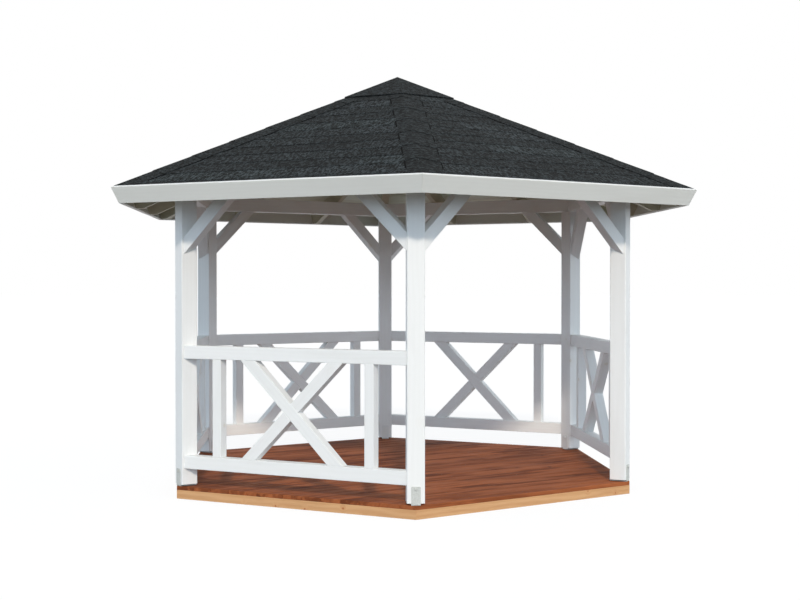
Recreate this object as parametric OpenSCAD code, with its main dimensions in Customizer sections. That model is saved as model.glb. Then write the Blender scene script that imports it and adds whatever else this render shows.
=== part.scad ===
// Open six-sided garden pavilion: a board deck on a timber frame, six posts, five railings with
// diagonal crosses, one open entrance side, and a shallow six-sided shingled roof.
// Millimetres, +Z up, standing on z = 0 with the middle of the floor on the Z axis.
// The entrance side faces -Y.

/* [Plan] */
// Distance from the middle of the floor to the middle of each post
post_circle_r = 1767; // [1450:1:2600]
// How far the outer face of rails, braces and beams stands outside the line through the posts
frame_face = 66; // [50:1:75]

/* [Deck] */
// How far the deck's corners reach past the outer faces of the posts
deck_lip = 15; // [5:1:60]
// Thickness of the deck boards
deck_board_t = 27; // [18:1:45]
// Height of the frame and the joists under the boards
deck_frame_h = 61; // [40:1:200]
// Thickness of the frame's edge boards
deck_edge_t = 45; // [25:1:80]
// Width of a joist
joist_w = 45; // [30:1:80]
// Distance between the middles of the joists
joist_pitch = 450; // [300:1:700]

/* [Posts] */
// Side of a post
post_w = 115; // [85:1:145]
// Flat on the long edges of a post
post_chamfer = 4; // [1:1:10]
// Clear height from the deck to the underside of the beams
headroom = 2015; // [1750:1:2600]
// Height of a post's foot above the deck
post_foot_gap = 12; // [6:1:40]

/* [Post shoes] */
// Width of the steel shoe under a post
shoe_w = 60; // [40:1:80]
// Height of the shoe's ears above the deck
shoe_h = 120; // [80:1:180]
// Thickness of the shoe's steel
shoe_t = 4; // [3:1:5]

/* [Railings] */
// Height of the top of the railing above the deck
railing_top = 975; // [800:1:1200]
// Height of the underside of the bottom rail above the deck
railing_bottom = 125; // [60:1:200]
// Height of a rail
rail_h = 90; // [60:1:120]
// Thickness of a rail, through the railing
rail_t = 80; // [50:1:90]
// Thickness of the balusters and of the cross, through the railing
infill_t = 70; // [40:1:80]
// Width of a baluster
baluster_w = 68; // [40:1:90]
// Distance from the end of a rail to the middle of a baluster
baluster_inset = 270; // [200:1:330]
// Width of a bar of the cross
cross_bar_w = 80; // [50:1:100]
// Distance from a baluster's face to the middle of the cross's end
cross_inset = 216; // [120:1:260]

/* [Knee braces] */
// Width of a brace
brace_w = 83; // [50:1:110]
// Thickness of a brace, through the wall
brace_t = 80; // [50:1:90]
// Distance from the beam down to the lower end of a brace
brace_drop = 409; // [300:1:550]

/* [Roof frame] */
// Height of a beam
beam_h = 110; // [80:1:160]
// Thickness of a beam
beam_t = 95; // [80:1:110]
// Pitch of the six roof slopes
roof_pitch = 25; // [18:0.5:35]
// Level distance from the line through the posts to the outer top edge of the fascia
eave_overhang = 473; // [300:1:650]
// Depth of a rafter, square to the slope
rafter_h = 115; // [90:1:160]
// Width of a common rafter
rafter_w = 45; // [35:1:80]
// Distance from the middle of a slope to each of its two common rafters
rafter_offset = 387; // [250:1:550]
// How deep a rafter is notched over the beam, at the line through the posts
rafter_notch = 8; // [2:1:30]
// Depth of a hip rafter, square to the hip
hip_rafter_h = 120; // [90:1:170]
// Width of a hip rafter
hip_rafter_w = 60; // [45:1:90]
// Distance between opposite faces of the hub that the hip rafters meet
hub_w = 160; // [120:1:240]
// Height of the hub, from its lower end to its peak
hub_h = 240; // [190:1:400]

/* [Roof cover] */
// Thickness of the roof boards
roof_board_t = 19; // [12:1:30]
// Thickness of the shingle cover
shingle_t = 6; // [3:1:12]
// Width of a fascia board, square to the slope
fascia_h = 118; // [90:1:180]
// Thickness of a fascia board
fascia_t = 19; // [12:1:30]
// Level width of a hip cap on each side of its hip
hip_cap_w = 110; // [70:1:160]
// Thickness of a hip cap
hip_cap_t = 4; // [2:1:8]
// Distance from the peak to the corners of the top cap
top_cap_r = 475; // [250:1:600]
// Thickness of the top cap
top_cap_t = 10; // [5:1:20]
// Gap between the top cap and the hip caps below it
cap_gap = 2; // [1:0.5:6]

/* [Hidden] */
SIDES = ["front", "front_right", "back_right", "back", "back_left", "front_left"];
CORNERS = ["front_right", "right", "back_right", "back_left", "left", "front_left"];
ALL_SIX = [0:5];
RAILED = [1:5];

sector = 60;
half_sector = sector / 2;

// Plan
post_line = post_circle_r * cos(half_sector);
half_side = post_circle_r * sin(half_sector);
deck_r = post_circle_r + post_w / 2 + deck_lip;
deck_inner_r = deck_r - deck_edge_t / cos(half_sector);
joists_each_way = floor((deck_inner_r - joist_pitch / 2) / joist_pitch);

// Half the length between two posts' faces, at a distance outside the line through the posts
function bay_half(out) = half_side - (post_w / 2 - out * sin(half_sector)) / cos(half_sector);

// Railing, measured along its side from the middle
baluster_y = bay_half(frame_face) - baluster_inset;
cross_y = baluster_y - baluster_w / 2 - cross_inset;
lap_t = infill_t / 2;

// Heights above the ground
deck_top = deck_frame_h + deck_board_t;
rail_low_z = deck_top + railing_bottom;
rail_high_z = deck_top + railing_top - rail_h;
infill_low_z = rail_low_z + rail_h;
infill_h = rail_high_z - infill_low_z;
beam_z = deck_top + headroom;
beam_top = beam_z + beam_h;

// Roof: `under` is always a depth below the top of the shingles, square to the slope
boards_under = shingle_t + roof_board_t;
slope_over_posts_z = beam_top + (boards_under + rafter_h) / cos(roof_pitch) - rafter_notch;
roof_apex_z = slope_over_posts_z + post_line * tan(roof_pitch);
eave_line = post_line + eave_overhang;
eave_slope_len = eave_line / cos(roof_pitch);
board_slope_len = eave_slope_len - fascia_t;
hip_rise = tan(roof_pitch) * cos(half_sector);
hip_pitch = atan(hip_rise);
// The rafters' tails are cut level with the lower edge of the fascia's inner face
tail_cut_z = roof_apex_z - board_slope_len * sin(roof_pitch) - fascia_h * cos(roof_pitch);

// Lengths that reach safely past what they are cut to
past_roof = 2 * eave_line;
past_apex = hub_w;

white_paint = "#f2f0ea";
fascia_paint = "#e4e4df";
stained_deck = "#8a5238";
bare_pine = "#cd9c6d";
zinc = "#a9aeac";
dark_shingle = "#3a4145";

// Placing: +X points out through a side or a corner, +Y runs along it
module at_side(i) rotate([0, 0, -90 + sector * i]) children();
module at_corner(i) rotate([0, 0, -60 + sector * i]) translate([post_circle_r, 0, 0]) children();

// Plan of a piece that is fitted between two posts, flush with the frame's outer face
module bay_plan(t) {
    outer = frame_face;
    inner = frame_face - t;
    polygon([
        [post_line + outer, -bay_half(outer)],
        [post_line + outer, bay_half(outer)],
        [post_line + inner, bay_half(inner)],
        [post_line + inner, -bay_half(inner)]
    ]);
}

// A plate with its outline in Y and Z, `set_in` behind the frame's outer face
module bay_plate(t, set_in = 0)
    translate([post_line + frame_face - set_in - t, 0, 0])
        rotate([90, 0, 90])
            linear_extrude(t) children();

// Upright wedge over one side of the plan, its edges `inset` inside the two hip lines
module side_wedge(inset = 0) {
    tip = inset / sin(half_sector);
    reach = past_roof * tan(half_sector);
    linear_extrude(past_roof)
        polygon([[tip, 0], [tip + past_roof, -reach], [tip + past_roof, reach]]);
}

// Slab that lies parallel to the slope of a side, `near` to `far` down the slope
module slope_slab(under, t, near, far, half_w = past_roof)
    translate([0, 0, roof_apex_z])
        rotate([0, roof_pitch, 0])
            translate([near, -half_w, -under - t])
                cube([far - near, 2 * half_w, t]);

// Everything that lies deeper than `under` below all six slopes, inside the eaves
module below_slopes(under, eave = board_slope_len)
    intersection_for (i = ALL_SIX)
        at_side(i) slope_slab(under, past_roof, -past_roof, eave);

// Everything above the level cut under the rafters' tails
module above_tail_cut() translate([-past_roof, -past_roof, tail_cut_z]) cube(2 * past_roof);

// A shell of thickness t that covers all six slopes in one piece
module whole_layer(under, t)
    difference() {
        below_slopes(under);
        below_slopes(under + t, past_roof);
    }

module deck_frame()
    color(bare_pine)
        difference() {
            cylinder(r = deck_r, h = deck_frame_h, $fn = 6);
            translate([0, 0, -1]) cylinder(r = deck_inner_r, h = deck_frame_h + 2, $fn = 6);
        }

module deck_joists()
    color(bare_pine)
        for (k = [-joists_each_way:joists_each_way])
            intersection() {
                translate([k * joist_pitch - joist_w / 2, -deck_r, 0])
                    cube([joist_w, 2 * deck_r, deck_frame_h]);
                cylinder(r = deck_inner_r, h = deck_frame_h, $fn = 6);
            }

module deck_boards()
    color(stained_deck)
        translate([0, 0, deck_frame_h]) cylinder(r = deck_r, h = deck_board_t, $fn = 6);

module post_shoe() {
    ear_x = post_w / 2;
    translate([-ear_x - shoe_t, -shoe_w / 2, 0]) cube([post_w + 2 * shoe_t, shoe_w, shoe_t]);
    for (x = [-ear_x - shoe_t, ear_x])
        translate([x, -shoe_w / 2, 0]) cube([shoe_t, shoe_w, shoe_h]);
}

module post_shoes()
    color(zinc)
        for (i = ALL_SIX) at_corner(i) translate([0, 0, deck_top]) post_shoe();

module post(i) {
    half = post_w / 2;
    flat = half - post_chamfer;
    color(white_paint)
        at_corner(i)
            translate([0, 0, deck_top + post_foot_gap])
                linear_extrude(headroom - post_foot_gap)
                    polygon([
                        [half, flat], [flat, half], [-flat, half], [-half, flat],
                        [-half, -flat], [-flat, -half], [flat, -half], [half, -flat]
                    ]);
}

module railing_rails(i)
    color(white_paint)
        at_side(i)
            for (z = [rail_low_z, rail_high_z])
                translate([0, 0, z]) linear_extrude(rail_h) bay_plan(rail_t);

// A bar of the cross, from its foot on the bottom rail to its head under the top rail. It rises
// towards +Y where rise is 1, and towards -Y where rise is -1.
module cross_bar(rise, t, set_in) {
    cut = cross_bar_w / 2 * sqrt(4 * cross_y * cross_y + infill_h * infill_h) / infill_h;
    foot_y = -rise * cross_y;
    head_y = rise * cross_y;
    bay_plate(t, set_in)
        polygon([
            [foot_y - cut, infill_low_z], [foot_y + cut, infill_low_z],
            [head_y + cut, rail_high_z], [head_y - cut, rail_high_z]
        ]);
}

// The two bars are halved over each other: this one shows whole from outside
module cross_bar_outer()
    difference() {
        cross_bar(-1, infill_t, 0);
        cross_bar(1, lap_t, lap_t);
    }

module cross_bar_inner()
    difference() {
        cross_bar(1, infill_t, 0);
        cross_bar(-1, lap_t, 0);
    }

module railing_infill(i)
    color(white_paint)
        at_side(i) {
            for (y = [-baluster_y, baluster_y])
                bay_plate(infill_t)
                    translate([y - baluster_w / 2, infill_low_z]) square([baluster_w, infill_h]);
            cross_bar_outer();
        }

module cross_bars_inner() color(white_paint) for (i = RAILED) at_side(i) cross_bar_inner();

// A brace at the +Y end of a side, at 45 degrees from the post's face up to the beam
module knee_brace() {
    post_y = bay_half(frame_face);
    foot_z = beam_z - brace_drop;
    cut = brace_w / cos(45);
    intersection() {
        translate([0, 0, foot_z - post_w]) linear_extrude(brace_drop + post_w) bay_plan(brace_t);
        bay_plate(brace_t)
            polygon([
                [post_y + post_w, foot_z - post_w], [post_y - brace_drop, beam_z],
                [post_y - brace_drop + cut, beam_z], [post_y + post_w, foot_z - post_w + cut]
            ]);
    }
}

module knee_braces()
    color(white_paint)
        for (i = ALL_SIX)
            at_side(i)
                for (end = [0, 1]) mirror([0, end, 0]) knee_brace();

// Beams are mitred over the posts, on the hip lines
module beam_bar() {
    outer = post_line + frame_face;
    inner = outer - beam_t;
    grow = tan(half_sector);
    translate([0, 0, beam_z])
        linear_extrude(beam_h)
            polygon([
                [outer, -outer * grow], [outer, outer * grow],
                [inner, inner * grow], [inner, -inner * grow]
            ]);
}

module beam(i) color(white_paint) at_side(i) beam_bar();

module all_beams() for (i = ALL_SIX) at_side(i) beam_bar();

// A hip rafter runs from the hub's face over the post to the eaves corner
module hip_rafter() {
    start = hub_w / 2;
    end = past_roof;
    ridge_z = roof_apex_z - boards_under / cos(roof_pitch);
    drop = hip_rafter_h / cos(hip_pitch);
    intersection() {
        rotate([90, 0, 0])
            translate([0, 0, -hip_rafter_w / 2])
                linear_extrude(hip_rafter_w)
                    polygon([
                        [start, ridge_z], [end, ridge_z],
                        [end, ridge_z - drop - end * hip_rise],
                        [start, ridge_z - drop - start * hip_rise]
                    ]);
        rotate([0, 0, sector]) below_slopes(boards_under);
        above_tail_cut();
    }
}

module hip_rafters()
    color(white_paint)
        for (i = ALL_SIX)
            difference() {
                rotate([0, 0, sector * i]) hip_rafter();
                all_beams();
            }

// Common rafters end against the sides of the hip rafters
module common_rafter_pair()
    difference() {
        intersection() {
            side_wedge(hip_rafter_w / 2);
            union() {
                for (y = [-rafter_offset, rafter_offset])
                    translate([0, y, 0])
                        slope_slab(boards_under, rafter_h, 0, board_slope_len, rafter_w / 2);
            }
            above_tail_cut();
        }
        beam_bar();
    }

module common_rafters()
    color(white_paint)
        for (i = ALL_SIX) at_side(i) common_rafter_pair();

module roof_hub() {
    peak_z = roof_apex_z - boards_under / cos(roof_pitch);
    color(white_paint)
        intersection() {
            translate([0, 0, peak_z - hub_h])
                rotate([0, 0, half_sector])
                    cylinder(r = hub_w / 2 / cos(half_sector), h = hub_h, $fn = 6);
            below_slopes(boards_under);
        }
}

module fascia(i)
    color(fascia_paint)
        at_side(i)
            intersection() {
                side_wedge();
                slope_slab(0, fascia_h, board_slope_len, eave_slope_len);
            }

module roof_boards(i)
    color(white_paint)
        at_side(i)
            intersection() {
                side_wedge();
                slope_slab(shingle_t, roof_board_t, -past_apex, board_slope_len);
            }

module shingle_cover() color(dark_shingle) whole_layer(0, shingle_t);

// A cap folded over one hip, from just below the top cap down to the eaves
module hip_cap()
    difference() {
        union() {
            for (side = [0, 1])
                mirror([0, side, 0])
                    intersection() {
                        cube([past_roof, hip_cap_w, past_roof]);
                        rotate([0, 0, half_sector])
                            slope_slab(-hip_cap_t, hip_cap_t, -past_apex, board_slope_len);
                    }
        }
        cylinder(r = top_cap_r + cap_gap, h = past_roof, $fn = 6);
    }

module top_cap()
    intersection() {
        cylinder(r = top_cap_r, h = past_roof, $fn = 6);
        whole_layer(-top_cap_t, top_cap_t);
    }

module roof_caps()
    color(dark_shingle) {
        top_cap();
        for (i = ALL_SIX) rotate([0, 0, sector * i]) hip_cap();
    }

deck_frame();
deck_joists();
deck_boards();
post_shoes();
for (i = ALL_SIX) post(i);
for (i = RAILED) railing_rails(i);
for (i = RAILED) railing_infill(i);
cross_bars_inner();
knee_braces();
for (i = ALL_SIX) beam(i);
hip_rafters();
common_rafters();
roof_hub();
for (i = ALL_SIX) fascia(i);
for (i = ALL_SIX) roof_boards(i);
shingle_cover();
roof_caps();
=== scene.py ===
"""Looks of an open six-sided garden pavilion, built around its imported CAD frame. Metres, +Z up.

The entrance side faces -Y. Sides and corners are numbered from 0 to 5, anticlockwise seen from above.
"""

import math
import random

import bmesh
import bpy
from mathutils import Matrix, Vector

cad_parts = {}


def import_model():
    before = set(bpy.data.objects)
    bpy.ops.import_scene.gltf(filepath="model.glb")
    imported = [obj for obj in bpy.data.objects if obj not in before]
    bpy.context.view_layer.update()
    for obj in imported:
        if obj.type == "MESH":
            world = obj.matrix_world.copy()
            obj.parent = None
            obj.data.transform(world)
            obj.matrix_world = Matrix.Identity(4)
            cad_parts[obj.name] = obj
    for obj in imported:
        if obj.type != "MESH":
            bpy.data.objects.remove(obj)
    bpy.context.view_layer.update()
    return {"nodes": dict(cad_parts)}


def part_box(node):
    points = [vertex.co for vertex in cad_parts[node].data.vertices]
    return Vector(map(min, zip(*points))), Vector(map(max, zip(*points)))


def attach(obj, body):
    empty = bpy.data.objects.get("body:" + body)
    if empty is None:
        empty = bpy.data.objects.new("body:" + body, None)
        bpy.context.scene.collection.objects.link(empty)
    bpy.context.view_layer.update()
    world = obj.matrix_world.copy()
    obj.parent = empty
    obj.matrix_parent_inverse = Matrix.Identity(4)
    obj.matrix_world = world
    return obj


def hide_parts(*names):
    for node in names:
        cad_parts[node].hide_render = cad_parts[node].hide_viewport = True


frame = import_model()

# ---------------------------------------------------------------- sizes, from the frame

SECTOR = math.radians(60)
COS30 = math.cos(SECTOR / 2)
SIN30 = math.sin(SECTOR / 2)
TAN30 = math.tan(SECTOR / 2)
SIDES = ["front", "front_right", "back_right", "back", "back_left", "front_left"]
CORNERS = ["front_right", "right", "back_right", "back_left", "left", "front_left"]

DECK_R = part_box("deck_boards")[1].x
DECK_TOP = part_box("deck_boards")[1].z
DECK_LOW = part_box("deck_boards")[0].z
POST_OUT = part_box("post_right")[1].x
POST_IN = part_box("post_right")[0].x
SHOE_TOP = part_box("post_shoes")[1].z


def roof_shape():
    """The roof's pitch, the height of its peak and the length of a slope, from the shingle cover."""
    mesh = frame["nodes"]["shingle_cover"].data
    upper = [p for p in mesh.polygons if p.normal.z > 0.5]
    pitch = math.acos(max(upper, key=lambda p: p.area).normal.z)
    heights = [mesh.vertices[v].co.z for p in upper for v in p.vertices]
    return pitch, max(heights), (max(heights) - min(heights)) / math.sin(pitch)


PITCH, PEAK, SLOPE = roof_shape()
PER_SLOPE = math.cos(PITCH) * TAN30     # half a slope's width for each metre down it

# ---------------------------------------------------------------- sizes of the finer detail

EASED = 0.0025          # rounding of planed edges, unless a piece has its own
EASED_POST = 0.0015
EASED_RAILING = 0.003
EASED_RAFTER = 0.001
EASED_FASCIA = 0.002
EASED_SAWN = 0.0015
EASED_DECK = 0.003
EASED_STEEL = 0.0008

FRAME_BOARD_T = 0.045   # edge boards of the deck frame
BOARD_PITCH = 0.1247    # deck boards, with their gap
BOARD_GAP = 0.005
FIRST_BOARD = 0.100     # the board along the entrance is ripped narrower
JOIST_PITCH = 0.45
JOISTS_EACH_WAY = 3
SCREW_R = 0.0042
SCREW_INSET = 0.028     # from a board's edge
SCREW_MARGIN = 0.07     # from the deck's slanted edges
SCREW_DEPTH = 0.004
SCREW_PROUD = 0.0004
SCREW_STRAY = 0.004     # off the joist's middle, either way

SHOE_W = 0.060
SHOE_T = 0.004
SHOE_CORNER_R = 0.007
BOLT_BELOW_TOP = 0.017
BOLT_R = 0.0078         # to the corners of its head
BOLT_H = 0.0070         # with its washer
WASHER_R = 0.012
WASHER_T = 0.0018
BARE_ZINC = 0.0         # tones of a shoe's parts
# the inner ears: the posts' white over the zinc, which is also painted light on them in the shade
WHITENED_ZINC = 1.0

BEYOND = 3              # past any hip, for an outline that is then cut at the hips
COVER_T = 0.006         # the CAD's shingle cover
UNDERLAY_T = 0.002
COURSE_PITCH = 0.1585
FIRST_COURSE = 0.041    # what shows of the lowest course
LAST_COURSE = 0.2       # from the peak, under the top cap
TAB_W = 0.333
TAB_T = 0.0028
TAB_SLOT = 0.002
TAB_LAP = 0.030
TAB_RISE = 0.0026       # what a tab's lower edge stands off, over the tabs under it
TAB_LEAST = 0.01        # a narrower end of a tab at a hip is left out
CAP_PITCH = 0.290       # hip caps, along the plan of the hip
CAP_LAP = 0.045
CAP_T = 0.0024
CAP_CLEAR = 0.0005      # between a cap and the shingles
CAP_LIFT = 0.0034       # what a cap's lower end stands off, over the cap below it
FIRST_CAP_LIFT = 0.001  # the same for the cap at the eaves, which has none below it
CAP_FOLD = 0.012        # half the width of the rounding over the hip
CAP_FOLD_DROP = 0.003   # how far the rounding lowers the fold
CAP_UNDER = 0.03        # how far the caps run in under the top cap
HALF_TAB = TAB_W / 2
FRONT_CAP_SIDES = (0.082, 0.138)    # the front left hip's caps are narrower, and sit off their hip
BEAD_R = 0.0060         # black bead along a cap's sides, below the lap: painted shadow of the gap under the cap's edge
BEAD_L = 0.140
BEAD_OUT = BEAD_R * 0.6     # its middle, from the cap's edge
BEAD_STRAY = 0.02
BEAD_PROFILE = [(0, 0.3), (0.06, 0.8), (0.2, 1.0), (0.5, 0.9), (0.8, 1.0), (0.94, 0.7), (1, 0.3)]
TOP_CAP_R = 0.475
TOP_CAP_RISE = 0.010
TOP_CAP_T = 0.0045
DARK_TONE = 0.1         # tone of the underlay and the top cap
FASCIA_T = 0.019
STRIP_T = 0.0015        # white strip over the fascia's top edge, partly a painted highlight along the eaves
SOFFIT_PITCH = 0.096
SOFFIT_T = 0.019
SOFFIT_GROOVE = 0.003

# ---------------------------------------------------------------- placing


def along_side(i):
    """Frame of side i: X along the side, -Y straight out through it."""
    return Matrix.Rotation(SECTOR * i, 4, "Z")


def at_corner(i):
    """Frame of corner i: X straight out through it."""
    return Matrix.Rotation(SECTOR * (i - 1), 4, "Z")


def on_slope(i):
    """Frame of slope i from the peak: X along the eaves, -Y down the slope, Z square out of it."""
    return along_side(i) @ Matrix.Translation((0, 0, PEAK)) @ Matrix.Rotation(PITCH, 4, "X")


# ---------------------------------------------------------------- mesh tools


def clipped(outline, keep):
    """The part of a convex outline where keep(x, y), a linear function, isn't negative."""
    kept = []
    for (ax, ay), (bx, by) in zip(outline, outline[1:] + outline[:1]):
        a, b = keep(ax, ay), keep(bx, by)
        if a >= 0:
            kept.append((ax, ay))
        if (a >= 0) != (b >= 0):
            t = a / (a - b)
            kept.append((ax + (bx - ax) * t, ay + (by - ay) * t))
    return kept


def level(z):
    """A height function for a flat face."""
    return lambda x, y: z


def prism(outline, low, high):
    """Closed solid over a convex anticlockwise outline, between two height functions."""
    bm = bmesh.new()
    bottom = [bm.verts.new((x, y, low(x, y))) for x, y in outline]
    top = [bm.verts.new((x, y, high(x, y))) for x, y in outline]
    bm.faces.new(bottom[::-1])
    bm.faces.new(top)
    for k in range(len(outline)):
        n = (k + 1) % len(outline)
        bm.faces.new((bottom[k], bottom[n], top[n], top[k]))
    return bm


def eased(bm, width=EASED, segments=2, edges=None):
    """Rounds a solid's sharp edges, or the edges given, as a plane or a cutter leaves them."""
    bm.normal_update()
    if edges is None:
        edges = [e for e in bm.edges if e.calc_face_angle(0) > 0.3]
    bmesh.ops.bevel(
        bm, geom=edges, offset=width, offset_type="OFFSET", segments=segments,
        profile=0.5, affect="EDGES", clamp_overlap=True,
    )
    return bm


def arc(cx, cy, r, start, end, steps=5):
    """Points on an arc, with the angles in degrees."""
    angles = [math.radians(start + (end - start) * k / steps) for k in range(steps + 1)]
    return [(cx + r * math.cos(a), cy + r * math.sin(a)) for a in angles]


def ring(r, sides):
    """Points of a closed round outline about the origin."""
    return arc(0, 0, r, 0, 360, sides)[:-1]


class Piece:
    """Gathers boards, tabs and plates into one mesh. Each keeps coordinates along its own grain."""

    def __init__(self, name, material, slot, *replaced):
        self.name, self.material, self.slot, self.replaced = name, material, slot, replaced
        self.rng = random.Random(name)
        self.verts, self.faces, self.grain, self.tone = [], [], [], []

    def add(self, bm, place=Matrix.Identity(4), tone=None):
        """Puts a solid, built with its grain along X, in its place."""
        drift = Vector([self.rng.uniform(0, 30) for _ in range(3)])
        tone = self.rng.random() if tone is None else tone
        first = len(self.verts)
        bm.verts.index_update()
        for v in bm.verts:
            self.verts.append(place @ v.co)
            self.grain.append(v.co + drift)
            self.tone.append(tone)
        self.faces += [[first + v.index for v in f.verts] for f in bm.faces]
        bm.free()

    def finish(self):
        mesh = bpy.data.meshes.new(self.name)
        mesh.from_pydata(self.verts, [], self.faces)
        grain = mesh.attributes.new("grain", "FLOAT_VECTOR", "POINT")
        grain.data.foreach_set("vector", [c for g in self.grain for c in g])
        mesh.attributes.new("tone", "FLOAT", "POINT").data.foreach_set("value", self.tone)
        mesh.materials.append(self.material)
        piece = bpy.data.objects.new(self.name, mesh)
        bpy.context.scene.collection.objects.link(piece)
        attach(piece, "root")
        if self.replaced:
            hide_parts(*self.replaced)
        return piece


def solids_of(node):
    """The closed solids of a CAD node, each a mesh with whole flat faces, in the same order each run."""
    bm = bmesh.new()
    bm.from_mesh(frame["nodes"][node].data)
    bmesh.ops.remove_doubles(bm, verts=bm.verts, dist=1e-5)
    bmesh.ops.dissolve_limit(bm, angle_limit=math.radians(0.5), verts=bm.verts, edges=bm.edges)
    left = set(bm.verts)
    solids = []
    for start in bm.verts:
        if start not in left:
            continue
        left.remove(start)
        group, waiting = set(), [start]
        while waiting:
            v = waiting.pop()
            group.add(v)
            near = {e.other_vert(v) for e in v.link_edges} & left
            left -= near
            waiting += near
        solid = bmesh.new()
        copies = {v: solid.verts.new(v.co) for v in bm.verts if v in group}
        for f in bm.faces:
            if f.verts[0] in group:
                solid.faces.new([copies[v] for v in f.verts])
        solids.append(solid)
    bm.free()
    centre = {id(s): sum((v.co for v in s.verts), Vector()) / len(s.verts) for s in solids}
    return sorted(solids, key=lambda s: [round(c, 3) for c in centre[id(s)]])


def grain_frame(solid):
    """Frame with X along a solid's longest edge and Z square to its largest side along it."""
    longest = max(solid.edges, key=lambda e: round(e.calc_length(), 4))
    along = (longest.verts[1].co - longest.verts[0].co).normalized()
    if along.dot(Vector((1.0, 0.7, 0.4))) < 0:      # the same way round on every run
        along = -along
    sides = [f for f in solid.faces if abs(f.normal.dot(along)) < 0.1]
    largest = max(sides, key=lambda f: round(f.calc_area(), 5))
    up = (largest.normal - along * largest.normal.dot(along)).normalized()
    turn = Matrix((along, up.cross(along), up)).transposed().to_4x4()
    middle = sum((v.co for v in solid.verts), Vector()) / len(solid.verts)
    return Matrix.Translation(middle) @ turn


def dressed(name, node, material, slot, width=EASED):
    """Stands for a CAD node of timber: the same solids with eased edges and their own grain."""
    piece = Piece(name, material, slot, node)
    for solid in solids_of(node):
        solid.normal_update()
        place = grain_frame(solid)
        solid.transform(place.inverted())
        piece.add(eased(solid, width), place)
    return piece.finish()


# ---------------------------------------------------------------- materials


class Finish:
    """A material with one Principled shader, and short ways to add its nodes."""

    def __init__(self, name, **values):
        self.material = bpy.data.materials.new(name)
        self.material.use_nodes = True
        self.nodes = self.material.node_tree.nodes
        self.links = self.material.node_tree.links
        self.shader = self.nodes["Principled BSDF"]
        for key, value in values.items():
            self.shader.inputs[key.replace("_", " ")].default_value = value

    def link(self, source, target):
        if isinstance(source, bpy.types.NodeSocket):
            self.links.new(source, target)
        else:
            target.default_value = source

    def place(self):
        """Coordinates in the object's own frame, the same for every piece."""
        return self.nodes.new("ShaderNodeTexCoord").outputs["Object"]

    def attribute(self, name, output):
        node = self.nodes.new("ShaderNodeAttribute")
        node.attribute_name = name
        return node.outputs[output]

    def scaled(self, vector, scale):
        node = self.nodes.new("ShaderNodeVectorMath")
        node.operation = "MULTIPLY"
        self.link(vector, node.inputs[0])
        node.inputs[1].default_value = scale
        return node.outputs[0]

    def noise(self, vector, scale, detail=4.0, rough=0.55):
        node = self.nodes.new("ShaderNodeTexNoise")
        self.link(vector, node.inputs["Vector"])
        node.inputs["Scale"].default_value = scale
        node.inputs["Detail"].default_value = detail
        node.inputs["Roughness"].default_value = rough
        return node.outputs["Fac"]

    def cells(self, vector, scale, output="Distance"):
        node = self.nodes.new("ShaderNodeTexVoronoi")
        self.link(vector, node.inputs["Vector"])
        node.inputs["Scale"].default_value = scale
        return node.outputs[output]

    def math(self, operation, a, b=0.0, c=0.0):
        node = self.nodes.new("ShaderNodeMath")
        node.operation = operation
        for k, value in enumerate((a, b, c)):
            self.link(value, node.inputs[k])
        return node.outputs[0]

    def mapped(self, value, low, high, to_low=0.0, to_high=1.0):
        node = self.nodes.new("ShaderNodeMapRange")
        node.interpolation_type = "SMOOTHSTEP"
        for k, v in enumerate((value, low, high, to_low, to_high)):
            self.link(v, node.inputs[k])
        return node.outputs[0]

    def mix(self, fac, a, b):
        node = self.nodes.new("ShaderNodeMix")
        node.data_type = "RGBA"
        self.link(fac, node.inputs[0])
        for socket, colour in ((node.inputs[6], a), (node.inputs[7], b)):
            if isinstance(colour, bpy.types.NodeSocket):
                self.links.new(colour, socket)
            else:
                socket.default_value = (*colour, 1.0)
        return node.outputs[2]

    def bump(self, height, strength, distance):
        node = self.nodes.new("ShaderNodeBump")
        node.inputs["Strength"].default_value = strength
        node.inputs["Distance"].default_value = distance
        self.link(height, node.inputs["Height"])
        return node.outputs[0]

    def surface(self, colour, roughness, normal):
        self.links.new(colour, self.shader.inputs["Base Color"])
        self.links.new(roughness, self.shader.inputs["Roughness"])
        self.links.new(normal, self.shader.inputs["Normal"])
        return self.material


def srgb(*levels):
    """Linear colour of a colour given as it is seen, 0 to 255."""
    parts = [v / 255 for v in levels]
    return tuple(p / 12.92 if p <= 0.04045 else ((p + 0.055) / 1.055) ** 2.4 for p in parts)


def wood_pattern(f, ring_scale=34.0, knot_scale=4.2, knot_share=0.55, bend=1.6):
    """Growth rings, fine fibres, knots and the halos round the knots, each from 0 to 1. The rings bend
    round the knots."""
    grain = f.attribute("grain", "Vector")
    wobble = f.noise(f.scaled(grain, (0.9, 5.0, 5.0)), 1.0, 3.0)
    distance = f.cells(grain, knot_scale)
    chance = f.nodes.new("ShaderNodeSeparateColor")
    f.links.new(f.cells(grain, knot_scale, "Color"), chance.inputs[0])
    present = f.mapped(chance.outputs[0], 1 - knot_share, 1 - knot_share + 0.02)
    knot = f.math("MULTIPLY", f.mapped(distance, 0.085, 0.045), present)
    halo = f.math("MULTIPLY", f.mapped(distance, 0.30, 0.05), present)
    axes = f.nodes.new("ShaderNodeSeparateXYZ")
    f.links.new(grain, axes.inputs[0])
    across = f.math("MULTIPLY_ADD", axes.outputs[2], 0.6, axes.outputs[1])
    phase = f.math("MULTIPLY_ADD", wobble, 3.2, f.math("MULTIPLY", across, ring_scale))
    phase = f.math("MULTIPLY_ADD", halo, bend, phase)
    rings = f.math("PINGPONG", phase, 0.5)
    rings = f.mapped(f.math("MULTIPLY", rings, 2.0), 0.15, 0.95)
    fibres = f.noise(f.scaled(grain, (6.0, 160.0, 160.0)), 1.0, 3.0)
    return rings, fibres, knot, halo


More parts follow.
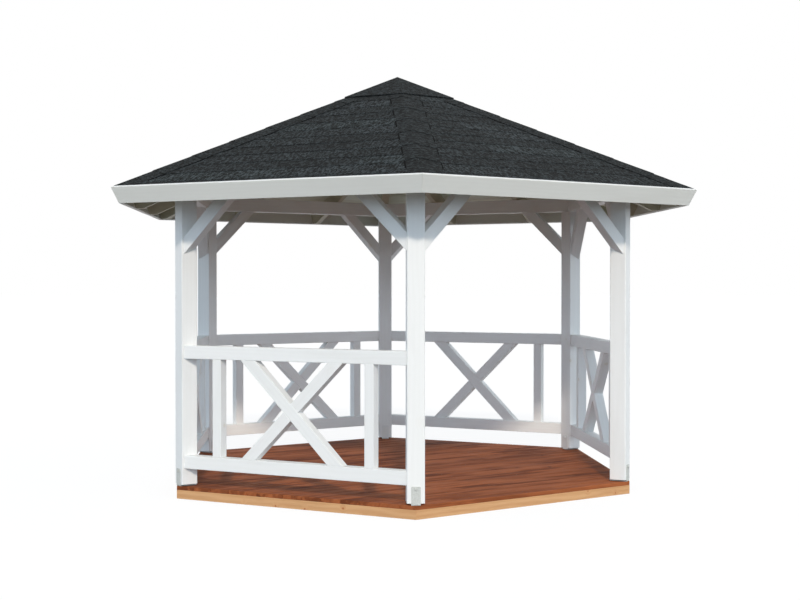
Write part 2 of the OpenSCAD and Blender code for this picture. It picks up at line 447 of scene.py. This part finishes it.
def painted(name, paint, knot_tint, grime):
    """Brushed paint over planed pine: the grain and the knots show through faintly."""
    f = Finish(name, Specular_IOR_Level=0.45)
    rings, fibres, knot, halo = wood_pattern(f, knot_share=0.45)
    grain = f.attribute("grain", "Vector")
    patches = f.noise(f.scaled(grain, (1.3, 5.0, 5.0)), 1.0, 4.0)
    brush = f.noise(f.scaled(grain, (9.0, 340.0, 340.0)), 1.0, 2.0)
    streaks = f.mapped(fibres, 0.55, 0.85)
    colour = f.mix(f.mapped(patches, 0.45, 0.75, 0.0, 0.40), paint, grime)
    colour = f.mix(f.math("MULTIPLY", rings, 0.10), colour, grime)
    colour = f.mix(f.math("MULTIPLY", streaks, 0.15), colour, grime)
    colour = f.mix(f.math("MULTIPLY", halo, 0.08), colour, knot_tint)
    colour = f.mix(f.math("MULTIPLY", knot, 0.36), colour, knot_tint)
    rough = f.mapped(patches, 0.3, 0.7, 0.42, 0.58)
    height = f.math("MULTIPLY_ADD", rings, 0.5, f.math("MULTIPLY_ADD", brush, 0.6, fibres))
    return f.surface(colour, rough, f.bump(height, 0.28, 0.0009))


def stained():
    """Translucent red-brown stain on softwood boards, darker in the late wood and at knots."""
    f = Finish("deck_stain", Specular_IOR_Level=0.15)
    rings, fibres, knot, halo = wood_pattern(f, ring_scale=26.0, knot_scale=3.4, knot_share=0.6)
    grain = f.attribute("grain", "Vector")
    tone = f.attribute("tone", "Fac")
    clouds = f.noise(f.scaled(grain, (1.6, 11.0, 11.0)), 1.0, 4.0, 0.6)
    washes = f.noise(f.scaled(f.place(), (1.1, 2.2, 1.0)), 1.0, 3.0)
    colour = f.mix(f.math("MULTIPLY", rings, 0.30), srgb(166, 95, 55), srgb(127, 67, 36))
    colour = f.mix(f.mapped(clouds, 0.44, 0.60, 0.0, 0.90), colour, srgb(98, 48, 26))
    colour = f.mix(f.mapped(washes, 0.40, 0.66, 0.0, 0.45), colour, srgb(92, 46, 25))
    colour = f.mix(f.mapped(fibres, 0.45, 0.8, 0.0, 0.45), colour, srgb(86, 42, 23))
    colour = f.mix(f.math("MULTIPLY", tone, 0.36), colour, srgb(182, 105, 62))
    colour = f.mix(f.math("MULTIPLY", halo, 0.25), colour, srgb(96, 48, 26))
    colour = f.mix(f.math("MULTIPLY", knot, 0.85), colour, srgb(49, 23, 14))
    rough = f.mapped(clouds, 0.3, 0.7, 0.66, 0.8)
    height = f.math("SUBTRACT", f.math("MULTIPLY", fibres, 0.8), rings)
    return f.surface(colour, rough, f.bump(height, 0.4, 0.0011))


def bare_pine():
    """Sawn, treated pine with honey-coloured late wood and orange knots."""
    f = Finish("bare_pine", Specular_IOR_Level=0.3)
    rings, fibres, knot, halo = wood_pattern(f, 42.0, 9.0, 0.85, 0.8)
    grain = f.attribute("grain", "Vector")
    tone = f.attribute("tone", "Fac")
    clouds = f.noise(f.scaled(grain, (1.4, 9.0, 9.0)), 1.0, 4.0)
    colour = f.mix(f.math("MULTIPLY", rings, 0.45), srgb(216, 168, 120), srgb(194, 140, 92))
    colour = f.mix(f.mapped(clouds, 0.4, 0.7, 0.0, 0.4), colour, srgb(192, 140, 94))
    colour = f.mix(f.mapped(fibres, 0.5, 0.8, 0.0, 0.35), colour, srgb(176, 122, 78))
    colour = f.mix(f.math("MULTIPLY", tone, 0.25), colour, srgb(222, 176, 130))
    colour = f.mix(f.math("MULTIPLY", halo, 0.18), colour, srgb(190, 118, 66))
    colour = f.mix(f.math("MULTIPLY", knot, 0.80), colour, srgb(168, 92, 46))
    rough = f.mapped(clouds, 0.3, 0.7, 0.6, 0.78)
    height = f.math("SUBTRACT", f.math("MULTIPLY", fibres, 1.2), rings)
    return f.surface(colour, rough, f.bump(height, 0.45, 0.0012))


def galvanised():
    """Hot-dip zinc: spangled grains, dull bloom and fine scratches. Where the tone is 1, the posts' white
    paint is over it, and the same whitening is painted light on the inner ears, which stand in shade."""
    f = Finish("galvanised_steel", Metallic=0.3)
    grain = f.attribute("grain", "Vector")
    whitening_and_painted_light = f.math("MULTIPLY", f.attribute("tone", "Fac"), 0.85)
    spangle = f.nodes.new("ShaderNodeSeparateColor")
    f.links.new(f.cells(grain, 190.0, "Color"), spangle.inputs[0])
    bloom = f.noise(grain, 45.0, 5.0, 0.65)
    scratches = f.noise(f.scaled(grain, (30.0, 900.0, 900.0)), 1.0, 2.0)
    colour = f.mix(spangle.outputs[0], srgb(186, 190, 187), srgb(204, 207, 204))
    colour = f.mix(f.mapped(bloom, 0.4, 0.7, 0.0, 0.6), colour, srgb(192, 194, 188))
    # near white where the tone is 1: the posts' paint, and painted light on the shaded inner ears
    colour = f.mix(whitening_and_painted_light, colour, srgb(236, 237, 236))
    rough = f.math("MULTIPLY_ADD", spangle.outputs[1], 0.16, f.mapped(bloom, 0.35, 0.7, 0.36, 0.54))
    height = f.math("MULTIPLY_ADD", scratches, 0.35, spangle.outputs[0])
    return f.surface(colour, rough, f.bump(height, 0.15, 0.0004))


def bitumen():
    """Mineral-granule bitumen shingles: mixed granules, and a shade for each tab, darker where its tone
    is low."""
    f = Finish("bitumen_shingle", Specular_IOR_Level=0.12)
    grain = f.attribute("grain", "Vector")
    tone = f.attribute("tone", "Fac")
    granules = f.nodes.new("ShaderNodeSeparateColor")
    f.links.new(f.cells(grain, 420.0, "Color"), granules.inputs[0])
    speckle = f.noise(grain, 90.0, 4.0, 0.75)
    streaks = f.noise(f.scaled(grain, (9.0, 30.0, 30.0)), 1.0, 3.0, 0.7)
    weave = f.noise(f.scaled(grain, (62.0, 26.0, 62.0)), 1.0, 2.0, 0.6)
    threads = f.noise(f.scaled(grain, (110.0, 46.0, 110.0)), 1.0, 2.0, 0.6)
    clouds = f.noise(f.scaled(f.place(), (1.5, 1.5, 6.0)), 1.0, 3.0, 0.6)
    ramp = f.nodes.new("ShaderNodeValToRGB")
    f.links.new(tone, ramp.inputs[0])
    stops = [
        (0.0, srgb(18, 20, 22)),
        (0.5, srgb(23, 26, 28)),
        (0.75, srgb(31, 33, 35)),
        (1.0, srgb(26, 33, 32)),
    ]
    while len(ramp.color_ramp.elements) < len(stops):
        ramp.color_ramp.elements.new(0.5)
    for element, (at, colour) in zip(ramp.color_ramp.elements, stops):
        element.position = at
        element.color = (*colour, 1.0)
    colour = f.mix(f.mapped(clouds, 0.40, 0.62, 0.0, 0.50), ramp.outputs[0], srgb(32, 38, 37))
    flecks = [      # pattern, where its fleck starts, where it is full, how strong, its colour
        (speckle, 0.50, 0.62, 0.45, srgb(48, 53, 55)),
        (speckle, 0.50, 0.38, 0.45, srgb(7, 9, 10)),
        (streaks, 0.48, 0.62, 0.50, srgb(42, 47, 48)),
        (streaks, 0.46, 0.36, 0.65, srgb(7, 8, 9)),
        (threads, 0.51, 0.62, 0.80, srgb(75, 82, 85)),
        (threads, 0.49, 0.38, 0.90, srgb(2, 3, 3)),
        (weave, 0.51, 0.64, 0.75, srgb(75, 82, 85)),
        (weave, 0.49, 0.36, 0.88, srgb(2, 3, 3)),
    ]
    for pattern, start, full, strength, shade in flecks:
        colour = f.mix(f.mapped(pattern, start, full, 0.0, strength), colour, shade)
    colour = f.mix(f.mapped(tone, 0.0, 1.0, 0.50, 0.0), colour, srgb(6, 8, 9))
    colour = f.mix(f.mapped(granules.outputs[0], 0.78, 0.92, 0.0, 0.30), colour, srgb(59, 63, 65))
    rough = f.mapped(granules.outputs[1], 0.0, 1.0, 0.78, 0.96)
    height = f.math("MULTIPLY_ADD", speckle, 0.8, granules.outputs[0])
    return f.surface(colour, rough, f.bump(height, 0.55, 0.0011))


def shadow_bead_finish():
    """Near-black with a little dust: painted shadow beside the hip caps, in the form of bitumen adhesive.
    """
    f = Finish("bead_painted_shadow", Specular_IOR_Level=0.05)
    grain = f.attribute("grain", "Vector")
    dust = f.noise(grain, 180.0, 4.0, 0.6)
    lumps = f.noise(grain, 70.0, 2.0)
    colour = f.mix(f.mapped(dust, 0.5, 0.75, 0.0, 0.4), srgb(5, 6, 7), srgb(26, 29, 31))
    return f.surface(colour, f.mapped(dust, 0.4, 0.7, 0.8, 0.95), f.bump(lumps, 0.4, 0.001))


def dull_steel():
    """Screw heads gone dull under the stain."""
    f = Finish("dull_steel", Metallic=0.7)
    grain = f.attribute("grain", "Vector")
    bloom = f.noise(grain, 260.0, 3.0)
    colour = f.mix(f.mapped(bloom, 0.4, 0.7), srgb(96, 84, 76), srgb(128, 118, 110))
    return f.surface(colour, f.mapped(bloom, 0.3, 0.7, 0.45, 0.7), f.bump(bloom, 0.2, 0.0004))


WHITE = painted("white_paint", srgb(240, 240, 238), srgb(216, 206, 184), srgb(226, 225, 221))
# fascia paint is greyer than the posts' white: painted shade on the fascia boards, which face down and
# out
FASCIA_SHADED = painted("fascia_paint", srgb(229, 228, 221), srgb(206, 198, 180), srgb(219, 217, 210))
# soffit paint is greyer and warmer than the posts' white: painted shade under the roof
SOFFIT_SHADED = painted("soffit_paint", srgb(224, 220, 200), srgb(198, 186, 152), srgb(208, 202, 178))
# rafter paint is darker than the soffit's: painted shade on the rafters and hub under the roof, whose
# lower edges would catch the light
RAFTER_SHADED = painted("rafter_paint_shaded", srgb(196, 190, 168), srgb(164, 152, 118), srgb(180, 173, 150))
STAIN = stained()
PINE = bare_pine()
ZINC = galvanised()
SHINGLE = bitumen()
SHADOW_BEAD_FINISH = shadow_bead_finish()
DULL = dull_steel()

# ---------------------------------------------------------------- deck


def deck_frame():
    """Six sawn boards, mitred at the corners."""
    piece = Piece("pine_edge_frame", PINE, "bare_pine", "deck_frame")
    outer = DECK_R * COS30
    inner = outer - FRAME_BOARD_T
    outline = [
        (-outer * TAN30, -outer), (outer * TAN30, -outer),
        (inner * TAN30, -inner), (-inner * TAN30, -inner),
    ]
    for i in range(6):
        piece.add(eased(prism(outline, level(0), level(DECK_LOW)), EASED_SAWN), along_side(i))
    return piece.finish()


def deck_rows():
    """The lower and upper Y of each deck board, laid from the entrance."""
    front = -DECK_R * COS30
    low, high = front, front + FIRST_BOARD
    rows = []
    while low < -front - BOARD_GAP:
        rows.append((low, min(high, -front)))
        low, high = high + BOARD_GAP, high + BOARD_PITCH
    return rows


def deck_boards():
    """Boards laid parallel to the entrance and cut to the deck's slanted sides."""
    piece = Piece("stained_deck_boards", STAIN, "deck_stain", "deck_boards")
    for low, high in deck_rows():
        outline = [(-DECK_R, low), (DECK_R, low), (DECK_R, high), (-DECK_R, high)]
        for sx in (-1, 1):
            for sy in (-1, 1):
                outline = clipped(outline, lambda x, y: DECK_R - sx * x - sy * y * TAN30)
        apart = [p for p, q in zip(outline, outline[1:] + outline[:1]) if math.dist(p, q) > 1e-4]
        piece.add(eased(prism(apart, level(DECK_LOW), level(DECK_TOP)), EASED_DECK))
    return piece.finish()


def deck_screws():
    """Two countersunk screws where each board crosses a joist."""
    piece = Piece("deck_screws", DULL, "galvanised_steel")
    head = ring(SCREW_R, 10)
    for low, high in deck_rows():
        for k in range(-JOISTS_EACH_WAY, JOISTS_EACH_WAY + 1):
            for y in (low + SCREW_INSET, high - SCREW_INSET):
                x = k * JOIST_PITCH + piece.rng.uniform(-SCREW_STRAY, SCREW_STRAY)
                if abs(x) + abs(y) * TAN30 > DECK_R - SCREW_MARGIN:
                    continue
                screw = prism(head, level(DECK_TOP - SCREW_DEPTH), level(DECK_TOP + SCREW_PROUD))
                rim = [e for e in screw.edges if min(v.co.z for v in e.verts) > DECK_TOP]
                piece.add(eased(screw, 0.0007, 1, rim), Matrix.Translation((x, y, 0)))
    return piece.finish()


# ---------------------------------------------------------------- post shoes


def shoe_ear(x, outward):
    """One ear of a shoe: a plate with rounded top corners that stands at x. outward is 1 for the outer
    ear and -1 for the inner one."""
    half, top = SHOE_W / 2, SHOE_TOP - DECK_TOP
    r = SHOE_CORNER_R
    outline = [(-half, 0.0), (half, 0.0)]
    outline += arc(half - r, top - r, r, 0, 90) + arc(-half + r, top - r, r, 90, 180)
    ear = eased(prism(outline, level(0), level(SHOE_T)), EASED_STEEL)
    stand = Matrix(((0, 0, 1, x), (1, 0, 0, 0), (0, 1, 0, DECK_TOP), (0, 0, 0, 1)))
    ear.transform(stand if outward > 0 else Matrix.Translation((-SHOE_T, 0, 0)) @ stand)
    return ear


def bolt_head(x, outward):
    """A hexagon head on its washer, near the top of an ear."""
    washer = eased(prism(ring(WASHER_R, 24), level(0), level(WASHER_T)), 0.0005, 1)
    head = eased(prism(ring(BOLT_R, 6), level(WASHER_T - 0.0002), level(BOLT_H)), 0.0007)
    turn = Matrix.Rotation(math.radians(90 * outward), 4, "Y")
    z = SHOE_TOP - BOLT_BELOW_TOP
    for part in (washer, head):
        part.transform(Matrix.Translation((x, 0, z)) @ turn)
    return washer, head


def post_shoes():
    """U shoes: a plate under each post and two bolted ears. The inner ears are whitened with the posts'
    paint, which is also painted light on them in the shade under the roof.
    """
    piece = Piece("post_shoe_brackets", ZINC, "galvanised_steel", "post_shoes")
    for i in range(6):
        place = at_corner(i)
        half = SHOE_W / 2
        outline = [
            (POST_IN - SHOE_T, -half), (POST_OUT + SHOE_T, -half),
            (POST_OUT + SHOE_T, half), (POST_IN - SHOE_T, half),
        ]
        plate = prism(outline, level(DECK_TOP), level(DECK_TOP + SHOE_T))
        piece.add(eased(plate, EASED_STEEL), place, BARE_ZINC)
        for x, outward, tone in ((POST_OUT, 1, BARE_ZINC), (POST_IN, -1, WHITENED_ZINC)):
            piece.add(shoe_ear(x, outward), place, tone)
            for part in bolt_head(x + outward * SHOE_T, outward):
                piece.add(part, place, tone)
    return piece.finish()


# ---------------------------------------------------------------- roof


def in_slope(outline, inset=0.0):
    """An outline in a slope's frame, cut at its two hips, or inset from them."""
    for side in (-1, 1):
        outline = clipped(outline, lambda x, y: -y * PER_SLOPE - inset - side * x)
    return outline


def across_slope(low, high):
    """The outline of a strip over the whole of a slope, to be cut at the hips."""
    return [(-BEYOND, low), (BEYOND, low), (BEYOND, high), (-BEYOND, high)]


def soffit_boards(i):
    """Tongued boards under the shingles, parallel to the eaves, with a V groove at each joint."""
    name = "roof_boards_" + SIDES[i]
    piece = Piece("lined_" + name, SOFFIT_SHADED, "soffit_paint", name)
    mitre = (COVER_T + SOFFIT_T) * math.sin(PITCH) * TAN30
    low = -SLOPE
    while low < -0.02:
        high = min(low + SOFFIT_PITCH, -0.004)
        outline = in_slope(across_slope(low, high), mitre)
        if len(outline) > 2:
            board = prism(outline, level(-COVER_T - SOFFIT_T), level(-COVER_T))
            lower = [e for e in board.edges if max(v.co.z for v in e.verts) < -COVER_T - 0.001]
            piece.add(eased(board, SOFFIT_GROOVE, 1, lower), on_slope(i))
        low += SOFFIT_PITCH
    return piece.finish()


def shingle_tab(outline, low, run, lift):
    """A tab on a slope. Its lower edge, at Y = low, stands off by the tabs under it."""
    def under(x, y):
        return -COVER_T + UNDERLAY_T + (TAB_RISE + lift) * (1 - (y - low) / run)

    def over(x, y):
        return under(x, y) + TAB_T

    tab = prism(outline, under, over)
    butt = [e for e in tab.edges if all(abs(v.co.y - low) < 1e-4 for v in e.verts)]
    return eased(tab, 0.001, 1, butt)


def shingle_courses():
    """Courses of slotted tabs over an underlay. Each course lies on the one below it. Tabs come in runs
    of one tone, with a small change from tab to tab."""
    piece = Piece("shingle_courses", SHINGLE, "bitumen_shingle", "shingle_cover")
    rng = piece.rng
    for i in range(6):
        place = on_slope(i)
        sheet = in_slope(across_slope(-SLOPE + 0.004, -0.001))
        piece.add(prism(sheet, level(-COVER_T), level(-COVER_T + UNDERLAY_T)), place, DARK_TONE)
        edge, course = SLOPE, 0
        while edge > LAST_COURSE:
            shown = COURSE_PITCH if course else FIRST_COURSE
            head = edge - shown - TAB_LAP
            reach = edge * PER_SLOPE
            x = -reach - HALF_TAB * (course % 2) - rng.uniform(0, 0.05)
            tone = rng.uniform(0.15, 0.5)
            while x < reach:
                ragged = rng.uniform(-0.0015, 0.0015) if course else -0.002
                low, end = -edge - ragged, x + TAB_W - TAB_SLOT
                tab = in_slope([(x, low), (end, low), (end, -head), (x, -head)])
                x += TAB_W
                if rng.random() < 0.45:
                    tone = rng.choice((0.15, 0.25, 0.3, 0.4, 0.5, 0.6, 0.75, 1.0))
                if len(tab) < 3 or max(p[0] for p in tab) - min(p[0] for p in tab) < TAB_LEAST:
                    continue
                lift = rng.uniform(0.0, 0.0008)
                shade = tone + rng.uniform(-0.06, 0.06)
                piece.add(shingle_tab(tab, low, shown + TAB_LAP, lift), place, shade)
            edge -= shown
            course += 1
    return piece.finish()


def hip_height(x, y):
    """Height of the shingles' top at a point of a hip's plan, X out along the hip."""
    return PEAK - (x * COS30 + abs(y) * SIN30) * math.tan(PITCH)


def folded_cap(start, end, left, right, lift):
    """A shingle strip folded over a hip, from start to end along the hip's plan, cut at the eaves.
    Its lower end lies on the cap below it."""
    fold = CAP_FOLD
    rows = 6
    eave = (SLOPE - 0.003) * math.cos(PITCH)
    ys = [
        -left, -left * 0.6, -left * 0.25, -fold, -fold / 2, 0,
        fold / 2, fold, right * 0.25, right * 0.6, right,
    ]
    bm = bmesh.new()

    def point(t, y, extra):
        stop = min(end, (eave - abs(y) * SIN30) / COS30)
        x = start + (stop - start) * t
        rounding = CAP_FOLD_DROP * max(0.0, 1 - abs(y) / fold)
        raised = (lift * t + extra) / math.cos(PITCH)
        return bm.verts.new((x, y, hip_height(x, y) - rounding + raised))

    low = [[point(k / rows, y, CAP_CLEAR) for y in ys] for k in range(rows + 1)]
    high = [[point(k / rows, y, CAP_CLEAR + CAP_T) for y in ys] for k in range(rows + 1)]
    for k in range(rows):
        for n in range(len(ys) - 1):
            bm.faces.new((high[k][n], high[k + 1][n], high[k + 1][n + 1], high[k][n + 1]))
            bm.faces.new((low[k][n + 1], low[k + 1][n + 1], low[k + 1][n], low[k][n]))
        bm.faces.new((low[k][0], low[k + 1][0], high[k + 1][0], high[k][0]))
        bm.faces.new((high[k][-1], high[k + 1][-1], low[k + 1][-1], low[k][-1]))
    for n in range(len(ys) - 1):
        bm.faces.new((low[0][n], high[0][n], high[0][n + 1], low[0][n + 1]))
        bm.faces.new((high[-1][n], low[-1][n], low[-1][n + 1], high[-1][n + 1]))
    return bm


def bead(start, y):
    """A black bead beside a hip cap, with tapered ends: a painted shadow, shaped as adhesive."""
    bm = bmesh.new()
    sides, flatness = 8, 0.8
    rings = []
    for t, size in BEAD_PROFILE:
        x = start + BEAD_L * t
        points = ring(BEAD_R * size, sides)
        rings.append([bm.verts.new((x, y + dy, hip_height(x, y) + dz * flatness)) for dy, dz in points])
    for a, b in zip(rings, rings[1:]):
        for k in range(sides):
            bm.faces.new((a[k], b[k], b[k - 1], a[k - 1]))
    bm.faces.new(rings[0])
    bm.faces.new(rings[-1][::-1])
    return bm


def top_cap():
    """The six-panelled cap over the peak: a thin shell whose rim stands clear of the shingles."""
    bm = bmesh.new()
    points = 12     # of the rim: the corners, and the middles between them
    skins = []
    for rise in (TOP_CAP_RISE, TOP_CAP_RISE - TOP_CAP_T):
        peak = bm.verts.new((0, 0, PEAK + rise / math.cos(PITCH)))
        rim = []
        for k in range(points):
            turn = SECTOR / 2 * k
            r = TOP_CAP_R * (1 if k % 2 == 0 else COS30)
            x, y = r * math.cos(turn), r * math.sin(turn)
            z = PEAK - TOP_CAP_R * COS30 * math.tan(PITCH) + rise / math.cos(PITCH)
            rim.append(bm.verts.new((x, y, z)))
        skins.append((peak, rim))
    (peak_a, rim_a), (peak_b, rim_b) = skins
    for k in range(points):
        n = (k + 1) % points
        bm.faces.new((peak_a, rim_a[k], rim_a[n]))
        bm.faces.new((peak_b, rim_b[n], rim_b[k]))
        bm.faces.new((rim_a[k], rim_b[k], rim_b[n], rim_a[n]))
    return bm


def hip_cap_ends():
    """Where each hip cap starts and ends, along the hip's plan, from the eaves up."""
    inner = TOP_CAP_R - CAP_UNDER
    end = SLOPE * math.cos(PITCH) / COS30
    ends = []
    while end > inner + CAP_UNDER:
        ends.append((max(end - CAP_PITCH - CAP_LAP, inner), end))
        end -= CAP_PITCH
    return ends


def cap_sides(i):
    """How far the caps of hip i reach to its two sides."""
    return FRONT_CAP_SIDES if CORNERS[i] == "front_left" else (HALF_TAB, HALF_TAB)


def roof_caps():
    """The top cap, and caps that lap each other down each hip."""
    piece = Piece("ridge_caps", SHINGLE, "bitumen_shingle", "roof_caps")
    piece.add(top_cap(), tone=DARK_TONE)
    for i in range(6):
        left, right = cap_sides(i)
        lift = FIRST_CAP_LIFT
        for start, end in hip_cap_ends():
            cap = folded_cap(start, end, left, right, lift)
            piece.add(cap, at_corner(i), tone=piece.rng.uniform(0.0, 0.2))
            lift = CAP_LIFT
    return piece.finish()


def cap_beads():
    """Short black beads beside the caps, clear of their laps: painted shadow of the gaps under the caps'
    sides.
    """
    piece = Piece("cap_adhesive_beads", SHADOW_BEAD_FINISH, "bitumen_shingle")
    for i in range(6):
        left, right = cap_sides(i)
        for start, end in hip_cap_ends():
            for y in (-left - BEAD_OUT, right + BEAD_OUT):
                x = max(start, TOP_CAP_R) + CAP_LAP * 0.5 + piece.rng.uniform(0, BEAD_STRAY)
                if x + BEAD_L < end - 0.01:
                    piece.add(bead(x, y), at_corner(i))
    return piece.finish()


def eaves_strips():
    """White strips over the top edges of the fascia boards, mitred at the corners. Against the greyer
    fascia paint they are in part a painted highlight along the eaves.
    """
    piece = Piece("painted_eaves_strips", WHITE, "white_paint")
    low, high = -SLOPE - FASCIA_T + 0.001, -SLOPE
    for i in range(6):
        strip = prism(in_slope(across_slope(low, high)), level(0), level(STRIP_T))
        piece.add(eased(strip, 0.0005, 1), on_slope(i))
    return piece.finish()


# ---------------------------------------------------------------- the object

deck_frame()
dressed("pine_joists", "deck_joists", PINE, "bare_pine")
deck_boards()
deck_screws()
post_shoes()
for corner in CORNERS:
    dressed("painted_post_" + corner, "post_" + corner, WHITE, "white_paint", EASED_POST)
for side in SIDES[1:]:      # every side but the entrance
    for part in ("rails", "infill"):
        node = f"railing_{side}_{part}"
        dressed("painted_" + node, node, WHITE, "white_paint", EASED_RAILING)
for node in ("cross_bars_inner", "knee_braces"):
    dressed("painted_" + node, node, WHITE, "white_paint")
# the rafters and hub take the darker rafter paint: painted shade
for node in ("hip_rafters", "common_rafters", "roof_hub"):
    dressed("painted_" + node, node, RAFTER_SHADED, "white_paint", EASED_RAFTER)
for side in SIDES:
    dressed("painted_beam_" + side, "beam_" + side, WHITE, "white_paint")
    dressed("painted_fascia_" + side, "fascia_" + side, FASCIA_SHADED, "fascia_paint", EASED_FASCIA)
for i in range(6):
    soffit_boards(i)
shingle_courses()
roof_caps()
cap_beads()
eaves_strips()

# ---------------------------------------------------------------- floor, light and camera


def floor():
    """A wide floor that the camera and reflections see as near white. To other light it is a mid grey,
    so that it throws little light up, and it keeps the object's shadow."""
    radius, grey, glow = 160, 0.15, 0.88
    bm = bmesh.new()
    bmesh.ops.create_circle(bm, cap_ends=True, segments=64, radius=radius)
    mesh = bpy.data.meshes.new("floor")
    bm.to_mesh(mesh)
    bm.free()
    obj = bpy.data.objects.new("floor", mesh)
    bpy.context.scene.collection.objects.link(obj)
    f = Finish("floor_paper", Roughness=1.0, Specular_IOR_Level=0.0)
    f.shader.inputs["Base Color"].default_value = (grey, grey, grey, 1)
    path = f.nodes.new("ShaderNodeLightPath")
    seen = f.math("MAXIMUM", path.outputs["Is Camera Ray"], path.outputs["Is Glossy Ray"])
    seen = f.math("MAXIMUM", seen, path.outputs["Is Transmission Ray"])
    f.shader.inputs["Emission Color"].default_value = (1, 1, 1, 1)
    f.links.new(f.math("MULTIPLY", seen, glow), f.shader.inputs["Emission Strength"])
    mesh.materials.append(f.material)


def world(horizon, zenith, tint):
    """Pale light all round, from one strength near the horizon to another overhead. The camera and
    reflections see plain white."""
    fade_from, fade_to = 0.15, 0.75     # sine of the elevation
    w = bpy.data.worlds.new("studio")
    bpy.context.scene.world = w
    w.use_nodes = True
    nodes, links = w.node_tree.nodes, w.node_tree.links
    path = nodes.new("ShaderNodeLightPath")
    seen = path.outputs["Is Camera Ray"]
    for output in ("Is Glossy Ray", "Is Transmission Ray"):
        most = nodes.new("ShaderNodeMath")
        most.operation = "MAXIMUM"
        links.new(seen, most.inputs[0])
        links.new(path.outputs[output], most.inputs[1])
        seen = most.outputs[0]
    height = nodes.new("ShaderNodeSeparateXYZ")
    links.new(nodes.new("ShaderNodeTexCoord").outputs["Generated"], height.inputs[0])
    sky = nodes.new("ShaderNodeMapRange")
    sky.interpolation_type = "SMOOTHSTEP"
    links.new(height.outputs["Z"], sky.inputs[0])
    for k, value in enumerate((fade_from, fade_to, horizon, zenith)):
        sky.inputs[k + 1].default_value = value
    strength = nodes.new("ShaderNodeMix")
    strength.data_type = "FLOAT"
    links.new(seen, strength.inputs[0])
    links.new(sky.outputs[0], strength.inputs[2])
    strength.inputs[3].default_value = 1.0
    colour = nodes.new("ShaderNodeMix")
    colour.data_type = "RGBA"
    links.new(seen, colour.inputs[0])
    colour.inputs[6].default_value = (*tint, 1)
    colour.inputs[7].default_value = (1, 1, 1, 1)
    background = nodes["Background"]
    links.new(colour.outputs[2], background.inputs["Color"])
    links.new(strength.outputs[0], background.inputs["Strength"])


def lamp(name, azimuth, elevation, strength, softness, colour):
    """A distant soft lamp. Azimuth is where it shines from, anticlockwise from +X. Angles in degrees."""
    data = bpy.data.lights.new(name, "SUN")
    data.energy = strength
    data.angle = math.radians(softness)
    data.color = colour
    obj = bpy.data.objects.new(name, data)
    a, e = math.radians(azimuth), math.radians(elevation)
    source = Vector((math.cos(a) * math.cos(e), math.sin(a) * math.cos(e), math.sin(e)))
    obj.rotation_euler = source.to_track_quat("Z", "Y").to_euler()
    bpy.context.scene.collection.objects.link(obj)


def camera():
    """Eye height, out in front of the front left corner, looking in level under the eaves."""
    data = bpy.data.cameras.new("camera")
    data.lens = 57.72
    data.sensor_width = 36
    data.clip_end = 500
    obj = bpy.data.objects.new("camera", data)
    obj.location = (-5.493, -8.243, 1.485)
    obj.rotation_euler = [math.radians(a) for a in (89.307, 0, -33.793)]
    bpy.context.scene.collection.objects.link(obj)
    bpy.context.scene.camera = obj


floor()
world(horizon=1.75, zenith=0.35, tint=(0.69, 0.84, 1.0))
lamp("key", azimuth=239, elevation=32.5, strength=2.0, softness=4, colour=(1.0, 0.90, 0.78))
lamp("fill", azimuth=320, elevation=22, strength=0.44, softness=60, colour=(1.0, 0.88, 0.72))
camera()
bpy.context.scene.view_settings.view_transform = "Standard"
